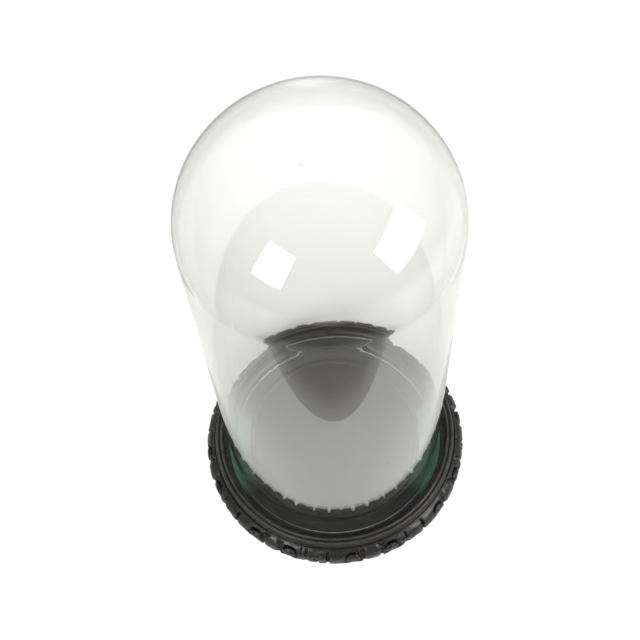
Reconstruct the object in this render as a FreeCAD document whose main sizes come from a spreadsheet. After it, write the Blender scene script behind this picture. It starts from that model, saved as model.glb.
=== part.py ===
"""Tall glass display dome on a turned and carved wooden base.

The base stands on four bun feet. A turned board carries a carved outer ring, a beaded moulding
that surrounds the seat of the dome, a raised display floor and a felt ring. The glass dome
stands loose on the felt and lifts straight off.

Frame: millimetres, +Z up along the axis of the dome, origin at the centre of the circle of
feet, on the surface that the object stands on.
"""
import FreeCAD, Part

import math
import os
import re

import Sketcher

DIMENSIONS = {
    # Glass dome
    "glass_radius": 90.0,
    "glass_wall": 3.0,
    "crown_wall": 2.6,
    "dome_straight": 316.0,
    "crown_rise": 84.0,
    # Heights of the base, all above the table
    "pad_thick": 1.5,
    "board_under": 14.0,
    "step_level": 20.0,
    "board_top": 26.8,
    "seat_level": 28.0,
    "floor_top": 31.0,
    "ring_top": 33.0,
    "moulding_edge": 35.4,
    "bead_level": 38.0,
    # Radii of the base
    "floor_radius": 75.5,
    "felt_inner": 75.8,
    "felt_outer": 93.0,
    "seat_radius": 93.3,
    "board_radius": 99.0,
    "step_radius": 105.0,
    "moulding_radius": 104.0,
    "ring_radius": 113.0,
    # Floor edge and beads
    "floor_round": 1.6,
    "bead_radius": 1.05,
    "outer_bead_at": 102.2,
    "inner_bead_at": 98.8,
    "cove_radius": 11.0,
    "edge_arc": 4.2,
    # Carved ring: rounded face
    "lip_radius": 103.0,
    "shoulder_level": 23.5,
    "ovolo_radius": 10.5,
    "skirt_level": 16.6,
    "skirt_round": 2.6,
    # Carved ring: bosses, notches and flutes
    "repeat_count": 8.0,
    "boss_level": 17.2,
    "boss_radius": 6.0,
    "boss_groove": 1.9,
    "boss_depth": 4.0,
    "notch_radius": 2.3,
    "notch_at": 113.6,
    "flute_radius": 1.0,
    "flute_at": 113.2,
    # Feet
    "foot_count": 4.0,
    "foot_circle": 80.0,
    "foot_radius": 12.5,
    "foot_neck": 9.0,
    "foot_sole": 8.0,
    "belly_level": 5.5,
    "belly_lower_arc": 5.6,
    "belly_upper_arc": 7.7,
    "neck_level": 12.0,
    "tenon_radius": 5.0,
    "tenon_top": 23.0,
    "socket_gap": 0.15,
    "pad_radius": 7.6,
    # Screws that hold the carved ring down
    "screw_count": 6.0,
    "screw_circle": 101.4,
    "screw_radius": 1.6,
    "screw_head_radius": 2.8,
    "screw_head_deep": 2.2,
    "screw_top": 28.5,
    "screw_gap": 0.25,
    # Length that a cut runs on past the face it leaves by
    "cut_clear": 1.0,
}

# Angles of the carving, in degrees: the turn of the first pair of bosses from the front, and
# each cut's step from the middle of its own group.
CARVING_TURN = 12.5
BOSS_ANGLE = 9.0
NOTCH_ANGLE = 5.6
FLUTE_ANGLE = 1.5

# The first foot stands midway between two axes, in degrees.
FIRST_FOOT_ANGLE = 45.0

# Cubic millimetres that a pattern of cuts has to remove at the very least.
LEAST_CUT = 1.0

doc = FreeCAD.newDocument("display_dome")
sheet = doc.addObject("Spreadsheet::Sheet", "Dimensions")
for row, (alias, size) in enumerate(DIMENSIONS.items(), start=1):
    sheet.set("A%d" % row, alias)
    sheet.set("B%d" % row, str(size))
    sheet.setAlias("B%d" % row, alias)
doc.recompute()


def bound(text):
    """Expression in which each name is a cell of the sheet."""
    return re.sub(r"[a-z][a-z_]*", lambda word: "Dimensions." + word.group(), text)


def size_of(text):
    """Present value of an expression of the sheet's names."""
    return float(sheet.evalExpression(bound(text)))


def bind(thing, **expressions):
    """Tie properties of an object to expressions of the sheet's names."""
    for name, text in expressions.items():
        thing.setExpression(name, bound(text))


def new_body(label):
    body = doc.addObject("PartDesign::Body", label)
    body.Label = label
    return body


def new_sketch(body, name, role, offset=None):
    """Sketch on one of the body's own origin planes."""
    sketch = body.newObject("Sketcher::SketchObject", name)
    plane = [item for item in body.Origin.OriginFeatures if item.Role == role][0]
    sketch.AttachmentSupport = [(plane, "")]
    sketch.MapMode = "FlatFace"
    if offset is not None:
        sketch.AttachmentOffset = offset
    return sketch


def own_axis(body, role):
    return [item for item in body.Origin.OriginFeatures if item.Role == role][0]


def arc_centre(start, end, radius, turn):
    """Centre of the shorter arc from start to end; it lies on the side named by turn."""
    chord = end - start
    half = chord.Length / 2.0
    side = FreeCAD.Vector(-chord.y, chord.x, 0).normalize()
    if turn == "right":
        side = side * -1.0
    return start + chord * 0.5 + side * math.sqrt(max(radius ** 2 - half ** 2, 0.0))


def angle_of(vector):
    return math.atan2(vector.y, vector.x)


def fix_coordinate(sketch, kind, geometry, corner, text):
    """Hold one coordinate of a corner at the value of an expression."""
    if abs(size_of(text)) < 1e-9:
        axis = -2 if kind == "DistanceX" else -1
        sketch.addConstraint(Sketcher.Constraint("PointOnObject", geometry, corner, axis))
        return
    index = sketch.addConstraint(
        Sketcher.Constraint(kind, -1, 1, geometry, corner, size_of(text)))
    name = "%s_%d" % (kind.lower(), index)
    sketch.renameConstraint(index, name)
    sketch.setExpression("Constraints." + name, bound(text))


def draw_outline(sketch, corners):
    """Closed outline of lines and arcs.

    Each corner is (across, up) or (across, up, radius, turn). The radius and turn describe the
    arc that arrives at that corner; without them a straight line arrives.
    """
    places = [FreeCAD.Vector(size_of(corner[0]), size_of(corner[1]), 0) for corner in corners]
    ends = []
    for index, corner in enumerate(corners):
        start = places[index - 1]
        end = places[index]
        if len(corner) == 2:
            geometry = sketch.addGeometry(Part.LineSegment(start, end), False)
            ends.append((geometry, 1, 2))
            continue
        radius_text, turn = corner[2:]
        radius = size_of(radius_text)
        centre = arc_centre(start, end, radius, turn)
        circle = Part.Circle(centre, FreeCAD.Vector(0, 0, 1), radius)
        if turn == "left":
            first, second = angle_of(start - centre), angle_of(end - centre)
        else:
            first, second = angle_of(end - centre), angle_of(start - centre)
        geometry = sketch.addGeometry(Part.ArcOfCircle(circle, first, second), False)
        ends.append((geometry, 1, 2) if turn == "left" else (geometry, 2, 1))
        held = sketch.addConstraint(Sketcher.Constraint("Radius", geometry, radius))
        sketch.renameConstraint(held, "radius_%d" % held)
        sketch.setExpression("Constraints.radius_%d" % held, bound(radius_text))
    for index, corner in enumerate(corners):
        here = ends[index]
        following = ends[(index + 1) % len(ends)]
        sketch.addConstraint(
            Sketcher.Constraint("Coincident", here[0], here[2], following[0], following[1]))
        fix_coordinate(sketch, "DistanceX", here[0], here[2], corner[0])
        fix_coordinate(sketch, "DistanceY", here[0], here[2], corner[1])


def draw_circle(sketch, across, up, radius):
    """Circle whose centre is given by numbers and whose radius is an expression."""
    centre = FreeCAD.Vector(across, up, 0)
    circle = Part.Circle(centre, FreeCAD.Vector(0, 0, 1), size_of(radius))
    geometry = sketch.addGeometry(circle, False)
    held = sketch.addConstraint(Sketcher.Constraint("Radius", geometry, size_of(radius)))
    sketch.renameConstraint(held, "radius_%d" % held)
    sketch.setExpression("Constraints.radius_%d" % held, bound(radius))
    return geometry


def hold_centre(sketch, geometry, across, up):
    """Hold a circle's centre at expressions of the sheet's names and angles."""
    for kind, text in (("DistanceX", across), ("DistanceY", up)):
        present = float(sheet.evalExpression(text))
        index = sketch.addConstraint(Sketcher.Constraint(kind, -1, 1, geometry, 3, present))
        name = "%s_%d" % (kind.lower(), index)
        sketch.renameConstraint(index, name)
        sketch.setExpression("Constraints." + name, text)


def on_circle(radius_alias, degrees):
    """Expressions for the place at an angle on a circle about the axis."""
    across = "Dimensions.%s * cos(%.3f deg)" % (radius_alias, degrees)
    up = "Dimensions.%s * sin(%.3f deg)" % (radius_alias, degrees)
    return across, up


def round_pocket(body, name, radius_alias, degrees, hole_radius, plane_level, depth):
    """Round hole cut upwards from a level, at an angle on a circle about the axis."""
    offset = FreeCAD.Placement(FreeCAD.Vector(0, 0, size_of(plane_level)), FreeCAD.Rotation())
    sketch = new_sketch(body, name + "_sketch", "XY_Plane", offset)
    sketch.setExpression("AttachmentOffset.Base.z", bound(plane_level))
    across, up = on_circle(radius_alias, degrees)
    start_x = float(sheet.evalExpression(across))
    start_y = float(sheet.evalExpression(up))
    geometry = draw_circle(sketch, start_x, start_y, hole_radius)
    hold_centre(sketch, geometry, across, up)
    pocket = body.newObject("PartDesign::Pocket", name)
    pocket.Profile = sketch
    pocket.Reversed = True
    bind(pocket, Length=depth)
    return pocket


def turned(body, name, corners):
    """Piece turned about the vertical axis from an outline on one side of it."""
    sketch = new_sketch(body, name + "_section", "XZ_Plane")
    draw_outline(sketch, corners)
    revolution = body.newObject("PartDesign::Revolution", name + "_turning")
    revolution.Profile = sketch
    revolution.ReferenceAxis = (sketch, ["V_Axis"])
    revolution.Angle = 360.0
    sketch.Visibility = False
    return revolution


def repeated(body, name, originals, count):
    """Cuts repeated evenly round the vertical axis."""
    pattern = body.newObject("PartDesign::PolarPattern", name)
    pattern.Originals = originals
    pattern.Axis = (own_axis(body, "Z_Axis"), [""])
    pattern.Angle = 360.0
    bind(pattern, Occurrences=count)
    body.Tip = pattern
    return pattern


def cut_checked(body, pattern, before):
    """A cut that removes nothing is a mistake, so the volume has to fall."""
    doc.recompute()
    if pattern.Shape.Volume > before - LEAST_CUT:
        raise RuntimeError("%s: %s removed nothing" % (body.Label, pattern.Name))
    return pattern.Shape.Volume


def make_glass_dome():
    """Blown dome: a straight wall under a slightly flattened crown, ground flat at the rim."""
    shells = []
    for side, inset, crown_inset in (("outer", "0", "0"), ("inner", "glass_wall", "crown_wall")):
        wall = doc.addObject("Part::Cylinder", "dome_%s_wall" % side)
        bind(wall, Radius="glass_radius - " + inset, Height="dome_straight")
        crown = doc.addObject("Part::Ellipsoid", "dome_%s_crown" % side)
        bind(crown, Radius1="crown_rise - " + crown_inset, Radius2="glass_radius - " + inset)
        crown.Angle1 = 0.0
        crown.Angle2 = 90.0
        crown.Angle3 = 360.0
        crown.setExpression("Placement.Base.z", bound("dome_straight"))
        shell = doc.addObject("Part::Fuse", "dome_%s_form" % side)
        shell.Base = wall
        shell.Tool = crown
        shell.Refine = True
        shells.append(shell)
    dome = doc.addObject("Part::Cut", "glass_dome")
    dome.Label = "glass_dome"
    dome.Base, dome.Tool = shells
    dome.setExpression("Placement.Base.z", bound("seat_level"))
    return dome


def make_seat_felt():
    """Ring of felt in the channel round the display floor; the dome stands on it."""
    body = new_body("seat_felt")
    turned(body, "felt", [
        ("felt_inner", "board_top"),
        ("felt_outer", "board_top"),
        ("felt_outer", "seat_level"),
        ("felt_inner", "seat_level"),
    ])
    return body


def make_floor_board():
    """Raised display floor, a disc with a rounded edge."""
    body = new_body("floor_board")
    turned(body, "floor", [
        ("0", "board_top"),
        ("floor_radius", "board_top"),
        ("floor_radius", "floor_top - floor_round"),
        ("floor_radius - floor_round", "floor_top", "floor_round", "left"),
        ("0", "floor_top"),
    ])
    return body


def make_bead_moulding():
    """Moulding with two fine beads on top and a cove that leads down to the seat."""
    body = new_body("bead_moulding")
    turned(body, "moulding", [
        ("seat_radius", "board_top"),
        ("board_radius", "board_top"),
        ("board_radius", "ring_top"),
        ("moulding_radius", "ring_top"),
        ("moulding_radius", "moulding_edge"),
        ("outer_bead_at + bead_radius", "bead_level", "edge_arc", "right"),
        ("outer_bead_at", "bead_level + bead_radius", "bead_radius", "left"),
        ("outer_bead_at - bead_radius", "bead_level", "bead_radius", "left"),
        ("inner_bead_at + bead_radius", "bead_level", "bead_radius", "right"),
        ("inner_bead_at", "bead_level + bead_radius", "bead_radius", "left"),
        ("inner_bead_at - bead_radius", "bead_level", "bead_radius", "left"),
        ("seat_radius", "seat_level + bead_radius", "cove_radius", "right"),
    ])
    return body


def boss_offset(degrees):
    """Plane that stands across the ring's outer face, turned by an angle from the front."""
    turning = FreeCAD.Rotation(FreeCAD.Vector(0, 1, 0), degrees)
    return FreeCAD.Placement(turning.multVec(FreeCAD.Vector(0, 0, size_of("ring_radius"))), turning)


def make_carved_rim():
    """Outer ring with a rounded face, carved with pairs of bosses and notched flutes."""
    body = new_body("carved_rim")
    ring = turned(body, "ring", [
        ("step_radius", "board_under"),
        ("ring_radius - skirt_round", "board_under"),
        ("ring_radius", "skirt_level", "skirt_round", "left"),
        ("ring_radius", "shoulder_level"),
        ("lip_radius", "ring_top", "ovolo_radius", "left"),
        ("board_radius", "ring_top"),
        ("board_radius", "step_level"),
        ("step_radius", "step_level"),
    ])
    doc.recompute()
    volume = ring.Shape.Volume
    cuts = []
    for name, step in (("boss_left", -BOSS_ANGLE), ("boss_right", BOSS_ANGLE)):
        sketch = new_sketch(body, name + "_sketch", "XZ_Plane", boss_offset(CARVING_TURN + step))
        for radius in ("boss_radius", "boss_radius + boss_groove"):
            geometry = draw_circle(sketch, 0, size_of("boss_level"), radius)
            sketch.addConstraint(Sketcher.Constraint("PointOnObject", geometry, 3, -2))
            fix_coordinate(sketch, "DistanceY", geometry, 3, "boss_level")
        pocket = body.newObject("PartDesign::Pocket", name)
        pocket.Profile = sketch
        bind(pocket, Length="boss_depth")
        cuts.append(pocket)
    between = 180.0 / size_of("repeat_count")
    middle = -90.0 + CARVING_TURN + between
    for name, radius, circle, step in (("notch", "notch_radius", "notch_at", NOTCH_ANGLE),
                                       ("flute", "flute_radius", "flute_at", FLUTE_ANGLE)):
        for side in (-1, 1):
            label = "%s_%s" % (name, "left" if side < 0 else "right")
            cuts.append(round_pocket(body, label, circle, middle + side * step, radius,
                                     "board_under - cut_clear",
                                     "ring_top - board_under + 2 * cut_clear"))
    pattern = repeated(body, "carving", cuts, "repeat_count")
    cut_checked(body, pattern, volume)
    return body


def make_base_board():
    """Turned board that carries everything, bored for the feet and for the screws."""
    body = new_body("base_board")
    board = turned(body, "board", [
        ("0", "board_under"),
        ("step_radius - socket_gap", "board_under"),
        ("step_radius - socket_gap", "step_level"),
        ("board_radius - socket_gap", "step_level"),
        ("board_radius - socket_gap", "board_top"),
        ("0", "board_top"),
    ])
    doc.recompute()
    volume = board.Shape.Volume
    socket = round_pocket(body, "foot_socket", "foot_circle", FIRST_FOOT_ANGLE,
                          "tenon_radius + socket_gap", "board_under",
                          "tenon_top - board_under + socket_gap")
    sockets = repeated(body, "foot_sockets", [socket], "foot_count")
    volume = cut_checked(body, sockets, volume)
    shank_hole = round_pocket(body, "screw_hole", "screw_circle", 0.0, "screw_radius + screw_gap",
                              "board_under", "step_level - board_under + cut_clear")
    head_hole = round_pocket(body, "screw_recess", "screw_circle", 0.0,
                             "screw_head_radius + screw_gap", "board_under",
                             "screw_head_deep + screw_gap")
    holes = repeated(body, "screw_holes", [shank_hole, head_hole], "screw_count")
    cut_checked(body, holes, volume)
    return body


def make_foot(number, degrees):
    """Turned bun foot with a round tenon that is glued into the board."""
    body = new_body("foot_%d" % number)
    turned(body, "foot", [
        ("0", "pad_thick"),
        ("foot_sole", "pad_thick"),
        ("foot_radius", "belly_level", "belly_lower_arc", "left"),
        ("foot_neck", "neck_level", "belly_upper_arc", "left"),
        ("foot_neck", "board_under"),
        ("tenon_radius", "board_under"),
        ("tenon_radius", "tenon_top"),
        ("0", "tenon_top"),
    ])
    across, up = on_circle("foot_circle", degrees)
    body.setExpression("Placement.Base.x", across)
    body.setExpression("Placement.Base.y", up)
    return body


def make_foot_pad(number, degrees):
    """Round felt pad under a foot."""
    pad = doc.addObject("Part::Cylinder", "foot_pad_%d" % number)
    pad.Label = "foot_pad_%d" % number
    bind(pad, Radius="pad_radius", Height="pad_thick")
    across, up = on_circle("foot_circle", degrees)
    pad.setExpression("Placement.Base.x", across)
    pad.setExpression("Placement.Base.y", up)
    return pad


def make_rim_screws():
    """Countersunk screws driven up through the board into the carved ring."""
    screws = []
    count = int(size_of("screw_count"))
    for number in range(count):
        head = doc.addObject("Part::Cone", "screw_head_%d" % number)
        bind(head, Radius1="screw_head_radius", Radius2="screw_radius",
             Height="screw_head_deep")
        shank = doc.addObject("Part::Cylinder", "screw_shank_%d" % number)
        bind(shank, Radius="screw_radius", Height="screw_top - board_under")
        screw = doc.addObject("Part::Fuse", "rim_screw_%d" % number)
        screw.Base = head
        screw.Tool = shank
        across, up = on_circle("screw_circle", number * 360.0 / count)
        screw.setExpression("Placement.Base.x", across)
        screw.setExpression("Placement.Base.y", up)
        screw.setExpression("Placement.Base.z", bound("board_under"))
        screws.append(screw)
    group = doc.addObject("Part::Compound", "rim_screws")
    group.Label = "rim_screws"
    group.Links = screws
    return group


def make_pieces():
    pieces = [
        make_glass_dome(),
        make_seat_felt(),
        make_floor_board(),
        make_bead_moulding(),
        make_carved_rim(),
        make_base_board(),
        make_rim_screws(),
    ]
    count = int(size_of("foot_count"))
    for number in range(1, count + 1):
        degrees = FIRST_FOOT_ANGLE + (number - 1) * 360.0 / count
        pieces.append(make_foot(number, degrees))
        pieces.append(make_foot_pad(number, degrees))
    return pieces


def check_and_write(pieces):
    """Stop on any failed object, then write one file for each piece."""
    doc.recompute()
    for item in doc.Objects:
        if "Invalid" in item.State or "Error" in item.State:
            raise RuntimeError("%s failed: %s" % (item.Name, item.State))
    for piece in pieces:
        if piece.Shape.isNull() or not piece.Shape.isValid():
            raise RuntimeError("%s has no valid shape" % piece.Label)
    os.makedirs("parts", exist_ok=True)
    for piece in pieces:
        piece.Shape.exportStep(os.path.join("parts", piece.Label + ".step"))
        print("%-14s solids %d  volume %9.1f" % (
            piece.Label, len(piece.Shape.Solids), piece.Shape.Volume))


check_and_write(make_pieces())
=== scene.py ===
"""Studio picture of a tall glass display dome on its turned and carved base.

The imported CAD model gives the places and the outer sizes, and finer sizes repeat those of its
sketches. The turned and blown pieces are built again here as fine meshes, the outer ring with
its carving, and each surface has its own material.
"""
import math

import bmesh
import bpy
import numpy as np
from mathutils import Matrix, Vector


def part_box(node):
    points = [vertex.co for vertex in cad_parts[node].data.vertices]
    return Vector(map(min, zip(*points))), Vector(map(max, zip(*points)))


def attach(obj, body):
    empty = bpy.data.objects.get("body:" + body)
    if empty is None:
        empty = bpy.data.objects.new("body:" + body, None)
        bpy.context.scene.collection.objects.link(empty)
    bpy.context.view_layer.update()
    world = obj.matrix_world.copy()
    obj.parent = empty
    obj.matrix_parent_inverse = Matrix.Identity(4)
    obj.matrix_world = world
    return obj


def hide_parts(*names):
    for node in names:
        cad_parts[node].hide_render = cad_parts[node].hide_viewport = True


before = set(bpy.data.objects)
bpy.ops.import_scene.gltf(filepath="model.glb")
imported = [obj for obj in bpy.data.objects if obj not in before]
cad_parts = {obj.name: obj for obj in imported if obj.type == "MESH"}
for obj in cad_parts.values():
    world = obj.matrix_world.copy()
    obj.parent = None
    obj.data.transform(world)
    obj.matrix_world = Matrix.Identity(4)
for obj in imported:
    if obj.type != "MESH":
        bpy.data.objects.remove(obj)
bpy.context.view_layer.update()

MM = 0.001

# ---------------------------------------------------------------- sizes read from the frame
GLASS_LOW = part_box("glass_dome")[0]
RING_LOW, RING_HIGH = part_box("carved_rim")
MOULDING_LOW, MOULDING_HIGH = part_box("bead_moulding")
FELT_LOW, FELT_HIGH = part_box("seat_felt")
FLOOR_LOW, FLOOR_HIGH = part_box("floor_board")

GLASS_RADIUS = 90 * MM
SEAT = GLASS_LOW[2]

# Points of a mesh that lie closer than this are one point.
MERGE_DISTANCE = 1e-7


# ---------------------------------------------------------------- mesh helpers
def finish_mesh(name, vertices, faces, sharp_degrees):
    """Object from points and faces, with clean normals and smooth shading."""
    mesh = bpy.data.meshes.new(name)
    mesh.from_pydata([tuple(point) for point in vertices], [], faces)
    work = bmesh.new()
    work.from_mesh(mesh)
    bmesh.ops.remove_doubles(work, verts=work.verts, dist=MERGE_DISTANCE)
    bmesh.ops.recalc_face_normals(work, faces=work.faces)
    work.to_mesh(mesh)
    work.free()
    mesh.shade_smooth()
    mesh.set_sharp_from_angle(angle=math.radians(sharp_degrees))
    piece = bpy.data.objects.new(name, mesh)
    bpy.context.scene.collection.objects.link(piece)
    return piece


def lathe_faces(around, along):
    """Quads between the rings of a closed turned grid; each ring holds one point per angle."""
    faces = []
    for row in range(along):
        following = (row + 1) % along
        for column in range(around):
            beside = (column + 1) % around
            faces.append((row * around + column, row * around + beside,
                          following * around + beside, following * around + column))
    return faces


def full_turn(around):
    """Angles of one full turn, evenly spaced."""
    return np.linspace(0.0, 2 * math.pi, around, endpoint=False)


def turned(name, outline, around, sharp_degrees, centre=(0.0, 0.0)):
    """Piece turned about a centre in metres from a closed outline of millimetre points."""
    angles = full_turn(around)
    rows = []
    for radius, height in outline:
        rows.append(np.stack([centre[0] + radius * MM * np.cos(angles),
                              centre[1] + radius * MM * np.sin(angles),
                              np.full(around, height * MM)], axis=1))
    return finish_mesh(name, np.concatenate(rows), lathe_faces(around, len(outline)),
                       sharp_degrees)


def arc(centre, radius, start, end, steps):
    """Points of an arc from one angle to another, in degrees."""
    turn = np.radians(np.linspace(start, end, steps))
    return [(centre[0] + radius * math.cos(t), centre[1] + radius * math.sin(t)) for t in turn]


def arc_through(start, end, radius, turn, steps):
    """Points of the shorter arc between two points, its centre to the left or right."""
    start, end = np.array(start), np.array(end)
    chord = end - start
    length = np.linalg.norm(chord)
    side = np.array([-chord[1], chord[0]]) / length
    if turn == "right":
        side = -side
    centre = (start + end) / 2 + side * math.sqrt(max(radius ** 2 - length ** 2 / 4, 0.0))
    first = math.atan2(*(start - centre)[::-1])
    sweep = 2 * math.asin(min(length / 2 / radius, 1.0))
    if turn == "right":
        sweep = -sweep
    angles = first + np.linspace(0.0, sweep, steps)
    return [(centre[0] + radius * math.cos(t), centre[1] + radius * math.sin(t)) for t in angles]


# ---------------------------------------------------------------- material helpers
class Material:
    """Short way to write a node material round one Principled shader."""

    def __init__(self, name, **settings):
        self.material = bpy.data.materials.new(name)
        self.material.use_nodes = True
        self.tree = self.material.node_tree
        self.shader = self.tree.nodes["Principled BSDF"]
        self.output = self.tree.nodes["Material Output"]
        for socket, value in settings.items():
            self.shader.inputs[socket.replace("_", " ")].default_value = value

    def node(self, kind, inputs=None, **settings):
        """New node; an input is given a value, or the socket that drives it."""
        made = self.tree.nodes.new(kind)
        for key, value in settings.items():
            setattr(made, key, value)
        for key, value in (inputs or {}).items():
            if isinstance(value, bpy.types.NodeSocket):
                self.tree.links.new(value, made.inputs[key])
            else:
                made.inputs[key].default_value = value
        return made

    def link(self, output, name):
        self.tree.links.new(output, self.shader.inputs[name])

    def coordinates(self, scale=(1, 1, 1), rotation=(0, 0, 0)):
        place = self.node("ShaderNodeTexCoord").outputs["Object"]
        return self.node("ShaderNodeMapping", {"Vector": place, "Scale": scale,
                                               "Rotation": rotation}).outputs["Vector"]

    def noise(self, scale, detail=4.0, roughness=0.55, vector=None, distortion=0.0):
        inputs = {"Scale": scale, "Detail": detail, "Roughness": roughness,
                  "Distortion": distortion}
        inputs["Vector"] = vector if vector is not None else self.coordinates()
        return self.node("ShaderNodeTexNoise", inputs).outputs["Fac"]

    def ramp(self, factor, stops):
        """Colour or grey ramp from (position, value) pairs."""
        ramp = self.node("ShaderNodeValToRGB", {"Fac": factor})
        elements = ramp.color_ramp.elements
        while len(elements) < len(stops):
            elements.new(0.5)
        for element, (position, value) in zip(elements, stops):
            element.position = position
            colour = value if isinstance(value, tuple) else (value, value, value)
            element.color = (*colour, 1.0)
        return ramp.outputs["Color"]

    def mix(self, factor, first, second):
        mixed = self.node("ShaderNodeMix", data_type="RGBA", blend_type="MIX")
        for socket, value in ((mixed.inputs[0], factor), (mixed.inputs[6], first),
                              (mixed.inputs[7], second)):
            if isinstance(value, bpy.types.NodeSocket):
                self.tree.links.new(value, socket)
            elif isinstance(value, tuple):
                socket.default_value = (*value, 1.0)
            else:
                socket.default_value = value
        return mixed.outputs[2]

    def maths(self, operation, first, second=0.0):
        made = self.node("ShaderNodeMath", operation=operation)
        for socket, value in zip(made.inputs, (first, second)):
            if isinstance(value, bpy.types.NodeSocket):
                self.tree.links.new(value, socket)
            else:
                socket.default_value = value
        return made.outputs[0]

    def span(self, value, start, end, low, high):
        """Value that runs from low to high while another runs from start to end."""
        made = self.node("ShaderNodeMapRange", {"Value": value, "From Min": start,
                                                "From Max": end, "To Min": low, "To Max": high})
        return made.outputs["Result"]

    def place(self):
        """X, Y and Z of the point in the object's own frame."""
        split = self.node("ShaderNodeSeparateXYZ", {0: self.coordinates()})
        return split.outputs["X"], split.outputs["Y"], split.outputs["Z"]

    def vector(self, operation, *inputs):
        made = self.node("ShaderNodeVectorMath", dict(enumerate(inputs)), operation=operation)
        return made.outputs["Value" if operation in ("LENGTH", "DOT_PRODUCT") else "Vector"]

    def flat_place(self):
        """The point in the object's own frame, dropped on the plane of the table."""
        place = self.node("ShaderNodeTexCoord").outputs["Object"]
        return self.vector("MULTIPLY", place, (1, 1, 0))

    def bump(self, height, distance, strength):
        made = self.node("ShaderNodeBump", {"Height": height, "Distance": distance,
                                            "Strength": strength})
        self.link(made.outputs["Normal"], "Normal")


def clothe(piece, *materials):
    """Give a piece its materials in place of any that it has."""
    piece.data.materials.clear()
    for material in materials:
        piece.data.materials.append(material)


# ---------------------------------------------------------------- materials
BLACK_STAIN = ((0.0030, 0.0030, 0.0030), (0.0080, 0.0074, 0.0068))
WORN_STAIN = ((0.0045, 0.0043, 0.0041), (0.016, 0.0135, 0.0095))
RUBBED_WOOD = (0.050, 0.044, 0.037)
DUST = (0.020, 0.018, 0.015)
DUST_ROUGHNESS = (0.85, 0.85, 0.85)


def rubbed_edges(made, edges, wear, rubbed_above):
    """How far the stain is rubbed away: on sharp edges, and above a given height."""
    rubbed = made.ramp(edges, [(0.515, 0.0), (0.56, 1.0)])
    rubbed = made.maths("MULTIPLY", rubbed,
                        made.ramp(made.noise(95.0), [(0.38, 0.0), (0.62, wear)]))
    if rubbed_above is None:
        return rubbed
    height = made.place()[2]
    proud = made.span(height, rubbed_above, rubbed_above + 0.6 * MM, 0.0, 1.0)
    handled = made.ramp(made.noise(130.0), [(0.25, 0.25), (0.7, 1.0)])
    return made.maths("MAXIMUM", rubbed, made.maths("MULTIPLY", proud, handled))


def turning_lines(made):
    """Fine rings that the turner's chisel leaves round the axis."""
    radius = made.vector("LENGTH", made.flat_place())
    along = made.node("ShaderNodeCombineXYZ", {"X": radius}).outputs[0]
    return made.noise(900.0, detail=2.0, vector=along)


def ebonised_wood(name, wear, grime, gloss, turning=0.0, rubbed_above=None, specular=0.21):
    """Black-stained wood: fine open grain, brown where edges are rubbed, dull in the hollows."""
    made = Material(name)
    grain = made.coordinates(scale=(1.0, 9.0, 9.0), rotation=(0, 0, math.radians(12)))
    pores = made.noise(260.0, detail=3.0, roughness=0.7, vector=grain)
    figure = made.noise(38.0, detail=5.0, roughness=0.6, vector=grain, distortion=0.6)
    patches = made.noise(17.0, detail=3.0)
    black = made.ramp(figure, [(0.25, BLACK_STAIN[0]), (0.75, BLACK_STAIN[1])])
    worn = made.ramp(patches, [(0.45, WORN_STAIN[0]), (0.78, WORN_STAIN[1])])
    edges = made.node("ShaderNodeNewGeometry").outputs["Pointiness"]
    rubbed = rubbed_edges(made, edges, wear, rubbed_above)
    colour = made.mix(rubbed, made.mix(0.4, black, worn), RUBBED_WOOD)
    hollow = made.ramp(edges, [(0.44, 1.0), (0.49, 0.0)])
    dusty = made.maths("MULTIPLY", hollow,
                       made.ramp(made.noise(60.0), [(0.35, 0.0), (0.7, grime)]))
    made.link(made.mix(dusty, colour, DUST), "Base Color")
    shine = made.ramp(made.noise(70.0, detail=5.0), [(0.3, gloss - 0.08), (0.7, gloss + 0.12)])
    made.link(made.mix(dusty, shine, DUST_ROUGHNESS), "Roughness")
    height = made.maths("ADD", made.maths("MULTIPLY", pores, 0.6), figure)
    if turning > 0.0:
        height = made.maths("ADD", height, made.maths("MULTIPLY", turning_lines(made), turning))
    made.bump(height, 0.12 * MM, 0.5)
    made.shader.inputs["Specular IOR Level"].default_value = specular
    made.shader.inputs["Coat Weight"].default_value = 0.10
    made.shader.inputs["Coat Roughness"].default_value = 0.25
    return made.material


def felt(name, dark, light):
    """Wool felt: matted short fibres and lint."""
    made = Material(name, Roughness=0.95)
    mixed = felt_fibres(made, 0.25)
    made.link(made.ramp(mixed, [(0.32, dark), (0.68, light)]), "Base Color")
    return made.material


def felt_fibres(made, sheen):
    """Matted fibres: their height goes to the bump, and is returned for the colour."""
    fibres = made.noise(1500.0, detail=4.0, roughness=0.75, distortion=1.2)
    clumps = made.noise(220.0, detail=4.0)
    mixed = made.maths("ADD", made.maths("MULTIPLY", fibres, 0.6),
                       made.maths("MULTIPLY", clumps, 0.4))
    made.shader.inputs["Sheen Weight"].default_value = sheen
    made.shader.inputs["Sheen Roughness"].default_value = 0.5
    made.bump(mixed, 0.6 * MM, 0.9)
    return mixed


FELT_GREENS = ((0.016, 0.050, 0.037), (0.045, 0.120, 0.090))
DARK_FELT = ((0.002, 0.0027, 0.0027), (0.006, 0.0072, 0.0068))
# Directions, in degrees, in which the felt is green, and how much narrower each green side is.
GREEN_SIDES = ((-13.0, 0.0), (184.0, 0.015))


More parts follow.
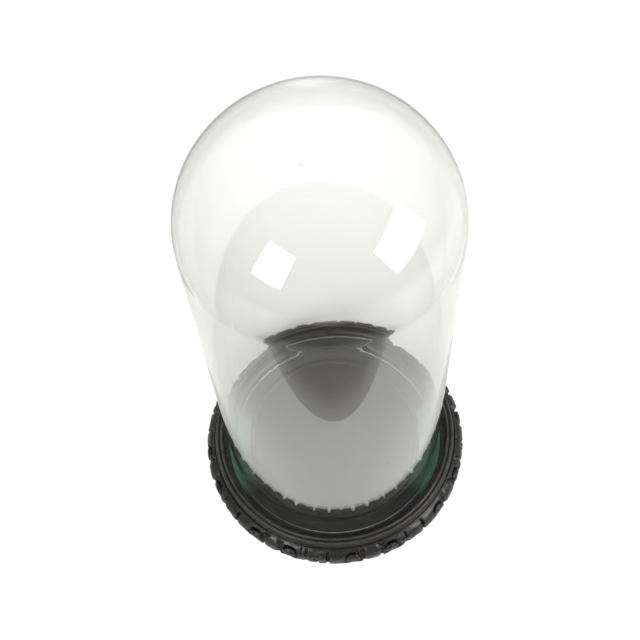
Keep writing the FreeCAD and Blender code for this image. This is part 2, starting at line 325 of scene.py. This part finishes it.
def side_green_felt(name):
    """The felt ring: green on the left and right, almost black elsewhere."""
    made = Material(name, Roughness=0.95)
    mixed = felt_fibres(made, 0.06)
    green = made.ramp(mixed, [(0.32, FELT_GREENS[0]), (0.68, FELT_GREENS[1])])
    near_black = made.ramp(mixed, [(0.32, DARK_FELT[0]), (0.68, DARK_FELT[1])])
    toward = made.vector("NORMALIZE", made.flat_place())
    nearness = []
    for degrees, loss in GREEN_SIDES:
        turn = math.radians(degrees)
        side = made.vector("DOT_PRODUCT", toward, (math.cos(turn), math.sin(turn), 0.0))
        nearness.append(made.maths("SUBTRACT", side, loss))
    near = made.maths("MAXIMUM", *nearness)
    edge_noise = made.maths("MULTIPLY", made.noise(60.0, detail=6.0, roughness=0.7), 0.12)
    greenness = made.ramp(made.maths("ADD", near, edge_noise), [(0.93, 0.0), (1.06, 1.0)])
    made.link(made.mix(greenness, near_black, green), "Base Color")
    return made.material


def screw_steel(name):
    """Old steel, grey with brown spots of rust."""
    made = Material(name, Metallic=1.0)
    spots = made.noise(420.0, detail=6.0)
    made.link(made.ramp(spots, [(0.35, (0.22, 0.21, 0.20)), (0.7, (0.10, 0.075, 0.055))]),
              "Base Color")
    made.link(made.ramp(spots, [(0.3, 0.35), (0.75, 0.75)]), "Roughness")
    made.bump(spots, 0.06 * MM, 0.6)
    return made.material


def blown_glass(name):
    """Clear old glass: faintly green in its depth, gently wavy, with dim marks of hands."""
    made = Material(name, Transmission_Weight=1.0, IOR=1.5)
    marks = made.noise(22.0, detail=8.0, roughness=0.62, distortion=1.6)
    made.link(made.ramp(marks, [(0.52, 0.0), (0.78, 0.02)]), "Roughness")
    made.link(made.ramp(marks, [(0.3, (0.992, 0.992, 0.980)), (0.8, (0.978, 0.980, 0.966))]),
              "Base Color")
    waves = made.noise(9.0, detail=2.0, vector=made.coordinates(scale=(1.0, 1.0, 0.35)))
    made.bump(waves, 0.9 * MM, 0.12)
    absorb = made.node("ShaderNodeVolumeAbsorption",
                       {"Color": (0.74, 0.86, 0.62, 1.0), "Density": 6.0})
    made.tree.links.new(absorb.outputs["Volume"], made.output.inputs["Volume"])
    let_lamps_through(made)
    return made.material


def let_lamps_through(made):
    """Light from the lamps passes the glass, so that what stands inside is lit."""
    path = made.node("ShaderNodeLightPath")
    clear = made.node("ShaderNodeBsdfTransparent", {"Color": (0.945, 0.955, 0.935, 1.0)})
    both = made.node("ShaderNodeMixShader", {0: path.outputs["Is Shadow Ray"]})
    made.tree.links.new(made.shader.outputs["BSDF"], both.inputs[1])
    made.tree.links.new(clear.outputs["BSDF"], both.inputs[2])
    made.tree.links.new(both.outputs["Shader"], made.output.inputs["Surface"])


def ground_glass(name):
    """The rim, ground flat: matt and pale, with fine scratches."""
    made = Material(name, Transmission_Weight=0.75, IOR=1.5)
    scratches = made.noise(1300.0, detail=4.0, roughness=0.7)
    made.link(made.ramp(scratches, [(0.3, 0.32), (0.7, 0.6)]), "Roughness")
    made.link(made.ramp(scratches, [(0.3, (0.17, 0.22, 0.19)), (0.7, (0.33, 0.39, 0.35))]),
              "Base Color")
    made.bump(scratches, 0.1 * MM, 0.6)
    return made.material


# ---------------------------------------------------------------- glass dome
WALL = 3.0 * MM
CROWN_WALL = 2.6 * MM
STRAIGHT = 316 * MM
CROWN_RISE = 84 * MM
RIM_BEVEL = 0.45 * MM
# Over this height above the rim the wall runs from true into its waver.
TRUE_RIM = 20 * MM
WAVER = 0.045 * MM
SEEDS = 26
WALL_STEPS = 70
CROWN_STEPS = 60


def dome_side(radius, rise):
    """Outline of one side of the glass from its rim to the middle of the crown."""
    shoulder = SEAT + STRAIGHT
    points = [(radius, height) for height in np.linspace(SEAT + RIM_BEVEL, shoulder, WALL_STEPS)]
    for turn in np.linspace(0.0, math.pi / 2, CROWN_STEPS)[1:]:
        points.append((radius * math.cos(turn), shoulder + rise * math.sin(turn)))
    return points


def blown_waver(angles, height, side):
    """How far the blown wall wavers inwards, never outwards, from its true form."""
    up = height / GLASS_RADIUS
    wave = (np.sin(2 * angles + 1.3 * up + side) + 0.7 * np.sin(3 * angles - 2.1 * up + 2 * side)
            + 0.5 * np.sin(5 * angles + 3.7 * up) + 0.8 * np.sin(2.3 * up + 1.7 * side))
    largest = 3.0
    return (wave - largest) * WAVER


def make_glass():
    """Blown glass: its outer side, its inner side and its ground rim, with seeds in the wall."""
    around = 240
    angles = full_turn(around)
    outer = dome_side(GLASS_RADIUS, CROWN_RISE)
    inner = dome_side(GLASS_RADIUS - WALL, CROWN_RISE - CROWN_WALL)
    rim = [(GLASS_RADIUS - WALL + RIM_BEVEL, SEAT), (GLASS_RADIUS - RIM_BEVEL, SEAT)]
    rows = []
    for side, outline in ((0, outer), (1, inner[::-1]), (None, rim)):
        for radius, height in outline:
            above_rim = min(1.0, max(0.0, (height - SEAT) / TRUE_RIM))
            pull = radius / GLASS_RADIUS * above_rim
            waver = blown_waver(angles, height, side) * pull if side is not None else 0.0
            reach = radius + waver
            rows.append(np.stack([reach * np.cos(angles), reach * np.sin(angles),
                                  np.full(around, height)], axis=1))
    piece = finish_mesh("dome_glass", np.concatenate(rows), lathe_faces(around, len(rows)),
                        sharp_degrees=180.0)
    add_seeds(piece)
    clothe(piece, blown_glass("blown_glass"), ground_glass("ground_glass"))
    for face in piece.data.polygons:
        if face.center.z < SEAT + RIM_BEVEL * 1.01 and abs(face.normal.z) > 0.3:
            face.material_index = 1
    return piece


def add_seeds(piece):
    """Seeds: small drawn-out air bubbles caught in the wall, as hollows with inward faces."""
    chance = np.random.default_rng(7)
    within_wall = GLASS_RADIUS - WALL * 0.55
    work = bmesh.new()
    work.from_mesh(piece.data)
    for _ in range(SEEDS):
        angle = chance.uniform(0, 2 * math.pi)
        height = SEAT + chance.uniform(0.05, 0.95) * STRAIGHT
        size = chance.uniform(0.25, 0.6) * MM
        drawn_out = chance.uniform(1.4, 3.0)
        place = (within_wall * math.cos(angle), within_wall * math.sin(angle), height)
        shape = (Matrix.Translation(place) @ Matrix.Rotation(angle, 4, "Z")
                 @ Matrix.Diagonal((size * 0.7, size, size * drawn_out, 1.0)))
        made = bmesh.ops.create_icosphere(work, subdivisions=2, radius=1.0, matrix=shape)
        faces = {face for vertex in made["verts"] for face in vertex.link_faces}
        bmesh.ops.reverse_faces(work, faces=list(faces))
        for face in faces:
            face.smooth = True
    work.to_mesh(piece.data)
    work.free()


# ---------------------------------------------------------------- carved ring
REPEATS = 8
CARVING_TURN = math.radians(-77.5)
# Radius at which widths across the carving are measured, in millimetres.
CARVED_RADIUS = 111.0
SKIRT_ROUND = 2.6
BELLY_RADIUS = 12.5
# The chisel takes about this much off everywhere, and nowhere more than the deepest cut.
SKIN = 0.15
DEEPEST_CUT = 6.0


class Ring:
    """Sizes of the carved ring in millimetres; the first three come from the frame."""
    outer = RING_HIGH[0] / MM
    under = RING_LOW[2] / MM
    top = RING_HIGH[2] / MM
    lip = 103.0
    bore = 99.0
    rebate = 105.0
    rebate_level = 20.0


def ring_face():
    """Rounded outer face of the ring from its lower edge to its top: places and distance."""
    turn = Ring.under + SKIRT_ROUND
    skirt = arc((Ring.outer - SKIRT_ROUND, turn), SKIRT_ROUND, -90, 0, 9)
    belly = arc_through((Ring.outer, turn + 0.6), (Ring.lip, Ring.top), BELLY_RADIUS, "left", 54)
    face = np.array(skirt + belly)
    steps = np.linalg.norm(np.diff(face, axis=0), axis=1)
    return face, np.concatenate([[0.0], np.cumsum(steps)])


def groove(distance, half_width, depth):
    """Cut of a gouge: deepest on its line, rounded at the bottom and at both edges."""
    near = np.clip((1.0 - np.abs(distance) / half_width) * 1.4, 0.0, 1.0)
    return depth * near * near * (3 - 2 * near)


def fade(value, full, none):
    """1 up to one value, 0 beyond another, smooth between."""
    step = np.clip((none - value) / (none - full), 0.0, 1.0)
    return step * step * (3 - 2 * step)


def notch_cut(across, up, half_width, depth):
    """Notch cut down over the shoulder: deepest high on the face, slight at the lower edge."""
    low = 0.3 + 0.7 * fade(-up, -10.0, -4.0)
    narrow = half_width * (1.0 - 0.35 * np.clip((up - 12.0) / 10.0, 0.0, 1.0))
    return groove(across, narrow, depth) * low * fade(up, 17.0, 23.5)


# A boss: how far up the face its middle is, the reach of its hood, and its button.
BOSS_MIDDLE = 10.8
BOSS_REACH = 9.7
BUTTON = 6.0
BUTTON_RING = 3.6


def boss_cut(across, up, inner_side, strength):
    """A raised button in a deep gouged hood, which notches the edge on its inner side."""
    reach = np.hypot(across, up - BOSS_MIDDLE)
    button = 0.2 + 1.2 * np.clip(reach / BUTTON, 0.0, 1.0) ** 3
    button = button + groove(reach - BUTTON_RING, 0.8, 0.6)
    inner = fade(-across * inner_side, -7.0, -2.0)
    slope = np.clip((BOSS_REACH + 0.8 * inner - reach) / (BOSS_REACH - BUTTON - 0.9), 0.0, 1.0)
    hood = (4.8 + 1.2 * inner) * strength * slope ** 0.8
    hood = hood * (0.28 + 0.72 * fade(-up, -9.0, -3.5))
    cut = np.where(reach < BUTTON, button, hood)
    slanting = across - inner_side * (9.6 - 0.09 * up)
    cut = np.maximum(cut, notch_cut(slanting, up, 2.6, 6.4 * strength))
    between = groove(across * inner_side - 8.0, 2.8, 3.2 * strength) * fade(up, 14.0, 18.0)
    return np.where(reach < BUTTON, cut, np.maximum(cut, between * fade(-up, -7.0, -3.0)))


def cushion(across, half_width, up):
    """Smooth pillow between two hoods: proud in its middle and falling to its ends."""
    end = np.clip(np.abs(across) / half_width, 0.0, 1.0)
    return 1.5 * end ** 3 + 0.6 * np.clip(np.abs(up - 11.0) / 12.0, 0.0, 1.0) ** 2


# Between two pairs of bosses, in millimetres across from the middle of the gap.
HOLLOW_PLACE = -12.4
LEAF_PLACE = -7.0
LEAF_REACH = 5.2
# Upright flutes: place, half width, depth and how far up the face they run.
FLUTES = ((0.4, 1.4, 1.8, 17.0), (2.9, 0.9, 1.0, 14.0), (8.8, 0.9, 1.2, 15.0))
NOTCH_PLACE = 5.8


def group_cut(across, up, strength):
    """Between two pairs: a scooped hollow, a leaf, short upright flutes and a notch."""
    hollow = np.hypot((across - HOLLOW_PLACE) / 3.3, (up - 5.0) / 9.0)
    cut = 3.0 * strength * np.clip(1.0 - hollow ** 2, 0.0, 1.0) ** 0.7
    cut = cut * (0.5 + 0.5 * fade(-up, -7.0, -2.0))
    cut = np.maximum(cut, notch_cut(across - HOLLOW_PLACE, up, 2.0, 5.4 * strength))
    leaf = np.hypot(across - LEAF_PLACE, (up - 6.0) * 0.8)
    cut = np.maximum(cut, groove(leaf - LEAF_REACH, 1.2, 2.2) * fade(-across, 3.0, 9.0))
    cut = np.maximum(cut, 0.5 + 0.5 * np.clip(leaf / 5.0, 0, 1) ** 2 * (leaf < LEAF_REACH))
    for place, width, deep, top in FLUTES:
        flute = groove(across - place, width, deep * strength) * fade(up, top - 2.0, top)
        cut = np.maximum(cut, flute * (0.2 + 0.8 * fade(-up, -8.0, -3.0)))
    return np.maximum(cut, notch_cut(across - NOTCH_PLACE, up, 2.3, 6.2 * strength))


# Degrees from the middle of a pair to each of its bosses, and how uneven the carving is.
PAIR_SPREAD = 8.5
UNEVEN = 0.4
# Half width of the smooth pillow beside the scooped hollow.
SIDE_PILLOW = 2.4


def carving(angles, distance):
    """Depth of the carving over the ring's face, for a grid of angles and distances up it."""
    chance = np.random.default_rng(21)
    turn, up = np.meshgrid(angles, distance)
    depth = np.zeros_like(turn)
    length = distance[-1]
    period = 2 * math.pi / REPEATS

    def across(centre):
        return np.angle(np.exp(1j * (turn - centre))) * CARVED_RADIUS

    for repeat in range(REPEATS):
        pair = CARVING_TURN + repeat * period
        group = pair + period / 2
        spread = math.radians(PAIR_SPREAD + chance.uniform(-UNEVEN, UNEVEN))
        shift = math.radians(chance.uniform(-UNEVEN, UNEVEN))
        gap = spread * CARVED_RADIUS - BOSS_REACH
        middle = across(pair + shift)
        depth = np.maximum(depth, cushion(middle, gap, up) * (np.abs(middle) < gap))
        side_gap = period / 2 * CARVED_RADIUS - spread * CARVED_RADIUS - BOSS_REACH
        beside = across(group) + side_gap - SIDE_PILLOW
        pillow = cushion(beside, SIDE_PILLOW + 0.2, up) * (np.abs(beside) < SIDE_PILLOW)
        depth = np.maximum(depth, pillow)
        strength = chance.uniform(0.85, 1.0)
        depth = np.maximum(depth, group_cut(across(group + shift), up, strength))
        for side in (-1, 1):
            strength = chance.uniform(0.85, 1.0)
            here = across(pair + shift + side * spread)
            cut = boss_cut(here, up, -side, strength)
            inside = np.hypot(here, up - BOSS_MIDDLE) < BUTTON
            depth = np.where(inside, cut, np.maximum(depth, cut))
    depth = depth * fade(up, length - 4.5, length - 2.5)
    depth = np.maximum(depth, groove(up - (length - 1.6), 0.9, 0.8))
    facets = 0.07 * (np.sin(turn * 37 + up * 0.5) + np.sin(turn * 61 - up * 0.8 + 1.0))
    facets = facets * fade(up, length - 5.0, length - 3.0)
    return np.clip(depth + SKIN + facets, 0.0, DEEPEST_CUT)


def carved_face(angles):
    """Rows of radius and height over the face, cut level low down and square to it above."""
    face, distance = ring_face()
    depth = carving(angles, distance)
    tangent = np.gradient(face, axis=0)
    tangent /= np.linalg.norm(tangent, axis=1)[:, None]
    inward = np.stack([-tangent[:, 1], tangent[:, 0]], axis=1)
    level = fade(distance, 7.0, 15.0)[:, None]
    inward = inward * (1 - level) + np.array([-1.0, 0.0]) * level
    inward /= np.linalg.norm(inward, axis=1)[:, None]
    radius = face[:, 0][:, None] + inward[:, 0][:, None] * depth
    height = face[:, 1][:, None] + inward[:, 1][:, None] * depth
    return list(zip(radius, height))


def make_carved_ring():
    """The carved ring: its face, its top, its bore with the rebate, and its underside."""
    around = 1400
    angles = full_turn(around)
    rows = carved_face(angles)
    low_radius, low_height = rows[0]
    edge_radius, edge_height = rows[-1]
    rows.append((edge_radius + (Ring.bore - edge_radius) * 0.5,
                 edge_height + (Ring.top - edge_height) * 0.5))
    for radius, height in ((Ring.bore, Ring.top), (Ring.bore, Ring.rebate_level),
                           (Ring.rebate, Ring.rebate_level), (Ring.rebate, Ring.under)):
        rows.append((np.full(around, radius), np.full(around, height)))
    for step in (0.35, 0.7):
        rows.append((Ring.rebate + (low_radius - Ring.rebate) * step,
                     Ring.under + (low_height - Ring.under) * step))
    points = [np.stack([radius * np.cos(angles), radius * np.sin(angles), height], axis=1)
              for radius, height in rows]
    piece = finish_mesh("ring_carved", np.concatenate(points) * MM,
                        lathe_faces(around, len(rows)), sharp_degrees=75.0)
    clothe(piece, ebonised_wood("carved_wood", wear=0.4, grime=0.12, gloss=0.33, specular=0.26))
    return piece


# ---------------------------------------------------------------- turned pieces
def make_moulding():
    """Ring with two fine beads, their quirks, and the cove down to the seat."""
    low, high = MOULDING_LOW[2] / MM, MOULDING_HIGH[2] / MM
    bore, edge = 93.3, 104.0
    outer_bead, inner_bead, bead = 102.2, 98.8, 1.05
    edge_arc, cove_arc = 4.2, 11.0
    level = high - bead
    outline = [(bore, low), (Ring.bore, low), (Ring.bore, Ring.top), (103.7, Ring.top),
               (edge, Ring.top + 0.3), (edge, 35.1)]
    outline += arc_through((103.95, 35.4), (outer_bead + bead, level), edge_arc, "right", 10)
    outline += arc((outer_bead, level), bead, 0, 180, 15)
    quirk = arc_through((outer_bead - bead, level), (inner_bead + bead, level), bead, "right", 9)
    outline += quirk[1:-1]
    outline += arc((inner_bead, level), bead, 0, 180, 15)
    cove = arc_through((inner_bead - bead, level), (93.45, 29.2), cove_arc, "right", 24)
    outline += cove[1:]
    outline += [(bore, 28.8)]
    piece = turned("moulding_turned", outline, around=360, sharp_degrees=60.0)
    clothe(piece, ebonised_wood("turned_wood", wear=0.8, grime=0.35, gloss=0.33, turning=1.2,
                                rubbed_above=MOULDING_HIGH[2] - 0.8 * MM))
    return piece


def make_floor():
    """Display floor: a flat disc with a rounded edge and a shallow scribed line."""
    low, high = FLOOR_LOW[2] / MM, FLOOR_HIGH[2] / MM
    edge, curve = 75.5, 1.6
    line, line_depth = 70.6, 0.35
    outline = [(0.0, low), (edge, low)]
    outline += arc((edge - curve, high - curve), curve, 0, 90, 8)
    outline += [(line + 0.3, high), (line, high - line_depth), (line - 0.3, high), (40.0, high),
                (0.0, high)]
    piece = turned("floor_turned", outline, around=256, sharp_degrees=60.0)
    clothe(piece, ebonised_wood("floor_wood", wear=0.25, grime=0.25, gloss=0.42, turning=0.7))
    return piece


# In millimetres: how uneven the top of the felt is, and where and how far it is pressed flat.
NAP = 0.12
PRESSED_DEPTH = 0.02
PRESSED_FROM = 86.5
PRESSED_TO = 90.5


def make_felt():
    """Felt ring, a little uneven and softly crushed where the glass presses it."""
    low, high = FELT_LOW[2] / MM, FELT_HIGH[2] / MM
    middle = (low + high) / 2
    around = 720
    angles = full_turn(around)
    chance = np.random.default_rng(3)
    rows = [(75.9, low), (92.9, low), (93.0, middle)]
    rows += [(radius, high) for radius in np.linspace(92.7, 76.1, 30)]
    rows += [(75.8, middle)]
    points = []
    for radius, height in rows:
        nap = np.zeros(around)
        if height == high:
            nap = -NAP * chance.random(around)
            if PRESSED_FROM < radius < PRESSED_TO:
                nap = np.full(around, -PRESSED_DEPTH)
        points.append(np.stack([radius * np.cos(angles), radius * np.sin(angles),
                                height + nap], axis=1))
    piece = finish_mesh("felt_ring", np.concatenate(points) * MM, lathe_faces(around, len(rows)),
                        sharp_degrees=70.0)
    clothe(piece, side_green_felt("green_felt"))
    return piece


def make_foot(number):
    """Turned bun foot with its tenon."""
    low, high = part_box("foot_%d" % number)
    centre = ((low[0] + high[0]) / 2, (low[1] + high[1]) / 2)
    base_level, belly_level, neck_level, shoulder_level = 1.5, 5.5, 12.0, 14.0
    base, belly, neck, tenon = 8.0, 12.5, 9.0, 5.0
    lower_arc, upper_arc = 5.6, 7.7
    outline = [(0.0, base_level), (base, base_level)]
    outline += arc_through((base, base_level), (belly, belly_level), lower_arc, "left", 10)[1:]
    outline += arc_through((belly, belly_level), (neck, neck_level), upper_arc, "left", 10)[1:]
    outline += [(neck, shoulder_level), (tenon, shoulder_level), (tenon, 22.6),
                (tenon - 0.4, 23.0), (0.0, 23.0)]
    return turned("foot_turned_%d" % number, outline, around=96, sharp_degrees=50.0,
                  centre=centre)


# ---------------------------------------------------------------- assembly
FEET = (1, 2, 3, 4)


def put(piece, body, node):
    """Let a piece ride with its body, and hide the CAD node that it stands for."""
    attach(piece, body)
    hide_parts(node)


def build_object():
    """All pieces; the board, the screws and the pads keep the shape of their CAD solids."""
    put(make_glass(), "dome", "glass_dome")
    put(make_carved_ring(), "base", "carved_rim")
    put(make_moulding(), "base", "bead_moulding")
    put(make_floor(), "base", "floor_board")
    put(make_felt(), "base", "seat_felt")
    foot_wood = ebonised_wood("foot_wood", wear=0.6, grime=0.2, gloss=0.35)
    for number in FEET:
        foot = make_foot(number)
        clothe(foot, foot_wood)
        put(foot, "base", "foot_%d" % number)
    pad_felt = felt("pad_felt", (0.012, 0.011, 0.010), (0.045, 0.040, 0.034))
    for number in FEET:
        clothe(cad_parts["foot_pad_%d" % number], pad_felt)
    clothe(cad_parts["base_board"],
           ebonised_wood("board_wood", wear=0.4, grime=0.2, gloss=0.5))
    clothe(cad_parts["rim_screws"], screw_steel("screw_steel"))


# ---------------------------------------------------------------- studio
STUDIO_RADIUS = 6.0
SHEET_LEVEL = -1.0 * MM
TABLE_LEVEL = -0.5 * MM
CARD_LEVEL = 4.0 * MM


def disc(name, height):
    """Flat round sheet of the studio."""
    mesh = bpy.data.meshes.new(name)
    work = bmesh.new()
    bmesh.ops.create_circle(work, cap_ends=True, segments=96, radius=STUDIO_RADIUS)
    bmesh.ops.translate(work, verts=work.verts, vec=(0.0, 0.0, height))
    work.to_mesh(mesh)
    work.free()
    made = bpy.data.objects.new(name, mesh)
    bpy.context.scene.collection.objects.link(made)
    return made


def build_table():
    """Pale table, hidden from the camera itself, that glows brighter before, behind and far
    away: painted pools of light.
    """
    table = disc("studio_table", TABLE_LEVEL)
    table.visible_camera = False
    made = Material("studio_table", Roughness=0.9)
    made.shader.inputs["Specular IOR Level"].default_value = 0.1
    across, along, _ = made.place()
    aside = made.maths("ABSOLUTE", across)
    # Painted light: the table glows before the dome, behind it and far off, strongest along a
    # middle strip, in place of light from the lamps.
    front = made.span(along, -0.06, -0.18, 0.0, 0.22)
    behind = made.span(along, 0.18, 0.36, 0.0, 0.32)
    middle = made.span(aside, 0.05, 0.22, 1.0, 0.2)
    far = made.span(made.vector("LENGTH", made.coordinates()), 0.40, 0.80, 0.0, 0.10)
    lit = made.maths("MULTIPLY", made.maths("ADD", front, behind), middle)
    made.link(made.maths("ADD", lit, far), "Emission Strength")
    # Painted light: the colour is lighter along the middle strip than out to the sides.
    made.link(made.ramp(made.maths("MULTIPLY", aside, 2.0),
                        [(0.22, (0.78, 0.78, 0.765)), (0.6, (0.68, 0.68, 0.668))]), "Base Color")
    made.shader.inputs["Emission Color"].default_value = (1.0, 0.998, 0.98, 1.0)
    clothe(table, made.material)


def build_sheet():
    """Pure white sheet under the table, which only the camera sees as the background."""
    sheet = disc("studio_sheet", SHEET_LEVEL)
    for rays in ("diffuse", "glossy", "transmission", "volume_scatter", "shadow"):
        setattr(sheet, "visible_" + rays, False)
    made = Material("studio_sheet", Roughness=1.0)
    made.shader.inputs["Base Color"].default_value = (0.0, 0.0, 0.0, 1.0)
    made.shader.inputs["Specular IOR Level"].default_value = 0.0
    made.shader.inputs["Emission Color"].default_value = (1.0, 1.0, 1.0, 1.0)
    made.shader.inputs["Emission Strength"].default_value = 1.05
    clothe(sheet, made.material)


HORIZON_COLOUR = (0.70, 0.70, 0.69, 1.0)
CEILING_COLOUR = (0.64, 0.64, 0.63, 1.0)


def build_world():
    """Pale walls that darken towards the ceiling."""
    world = bpy.data.worlds.new("studio")
    bpy.context.scene.world = world
    world.use_nodes = True
    nodes, links = world.node_tree.nodes, world.node_tree.links
    background = nodes["Background"]
    place = nodes.new("ShaderNodeTexCoord")
    split = nodes.new("ShaderNodeSeparateXYZ")
    links.new(place.outputs["Generated"], split.inputs[0])
    ramp = nodes.new("ShaderNodeValToRGB")
    low, high = ramp.color_ramp.elements
    low.position = 0.0
    low.color = HORIZON_COLOUR
    high.position = 0.3
    high.color = CEILING_COLOUR
    links.new(split.outputs["Z"], ramp.inputs[0])
    links.new(ramp.outputs["Color"], background.inputs["Color"])
    background.inputs["Strength"].default_value = 1.0


# Lamp panels: centre and two edges, in dome radii from the glass rim, and power.
SOFTBOXES = {
    "softbox_left": ((-7.33, -9.43, 8.4), (3.67, -3.33, -0.75), (1.66, 1.6, 5.99), 10.0),
    "softbox_right": ((10.81, -5.62, 7.51), (3.12, 7.63, 1.75), (-2.22, -0.61, 5.88), 15.0),
}


def from_rim(place):
    """Point of the studio given in dome radii from the middle of the glass rim."""
    return Vector(place) * GLASS_RADIUS + Vector((0.0, 0.0, SEAT))


def softbox(name, centre, across, upward, power):
    """Lamp panel from its centre and two edges."""
    edges = [Vector(across) * GLASS_RADIUS, Vector(upward) * GLASS_RADIUS]
    side = edges[0].normalized()
    top = (edges[1] - edges[1].dot(side) * side).normalized()
    away = side.cross(top)
    lamp = bpy.data.lights.new(name, "AREA")
    lamp.shape = "RECTANGLE"
    lamp.size = edges[0].length
    lamp.size_y = edges[1].length
    lamp.energy = power
    holder = bpy.data.objects.new(name, lamp)
    bpy.context.scene.collection.objects.link(holder)
    turn = Matrix((side, top, away)).transposed().to_4x4()
    holder.matrix_world = Matrix.Translation(from_rim(centre)) @ turn


# Near edge, far edge and half width of the grey card.
CARD_NEAR = -2.25 * GLASS_RADIUS
CARD_FAR = -9.6 * GLASS_RADIUS
CARD_WIDE = 3.0 * GLASS_RADIUS
# Its greys from the near edge outwards.
CARD_GREYS = [(0.0, (0.60, 0.58, 0.56)), (0.16, (0.31, 0.30, 0.285)),
              (0.5, (0.27, 0.255, 0.23)), (0.9, (0.13, 0.12, 0.105))]


def dark_flag():
    """Grey card before the dome, which only the glass and reflections show."""
    mesh = bpy.data.meshes.new("studio_flag")
    corners = [(-CARD_WIDE, CARD_FAR), (CARD_WIDE, CARD_FAR), (CARD_WIDE, CARD_NEAR),
               (-CARD_WIDE, CARD_NEAR)]
    mesh.from_pydata([(x, y, CARD_LEVEL) for x, y in corners], [], [(0, 1, 2, 3)])
    flag = bpy.data.objects.new("studio_flag", mesh)
    bpy.context.scene.collection.objects.link(flag)
    flag.visible_camera = False
    flag.visible_diffuse = False
    flag.visible_shadow = False
    made = Material("studio_flag", Roughness=0.9)
    made.shader.inputs["Specular IOR Level"].default_value = 0.0
    along = made.place()[1]
    outwards = made.span(along, CARD_NEAR, CARD_NEAR * 2.0, 0.0, 1.0)
    made.link(made.ramp(outwards, CARD_GREYS), "Base Color")
    clothe(flag, made.material)


# Camera, fitted to the outlines in the photograph: how far it looks down, how far it leans
# to one side, where it is in dome radii from the glass rim, and its lens.
LOOK_DOWN = math.radians(59.54)
LEAN = 0.0794
CAMERA_PLACE = (-0.0506, -3.9891, 8.9989)
LENS = 56.22


def build_camera():
    """Hand-held view from above, nine dome radii over the rim and four before the axis."""
    forward = Vector((0.0, math.cos(LOOK_DOWN), -math.sin(LOOK_DOWN)))
    right = Vector((1.0, 0.0, 0.0))
    below = forward.cross(right)
    side = right * math.cos(LEAN) + below * math.sin(LEAN)
    under = below * math.cos(LEAN) - right * math.sin(LEAN)
    place = from_rim(CAMERA_PLACE)
    camera = bpy.data.cameras.new("camera")
    camera.sensor_width = 36.0
    camera.lens = LENS
    camera.clip_start = 0.01
    holder = bpy.data.objects.new("camera", camera)
    bpy.context.scene.collection.objects.link(holder)
    holder.matrix_world = Matrix(((side.x, -under.x, -forward.x, place.x),
                                  (side.y, -under.y, -forward.y, place.y),
                                  (side.z, -under.z, -forward.z, place.z),
                                  (0.0, 0.0, 0.0, 1.0)))
    bpy.context.scene.camera = holder


def build_studio():
    build_table()
    build_sheet()
    build_world()
    for name, (centre, across, upward, power) in SOFTBOXES.items():
        softbox(name, centre, across, upward, power)
    dark_flag()
    build_camera()
    bpy.context.scene.view_settings.view_transform = "Standard"


build_object()
build_studio()
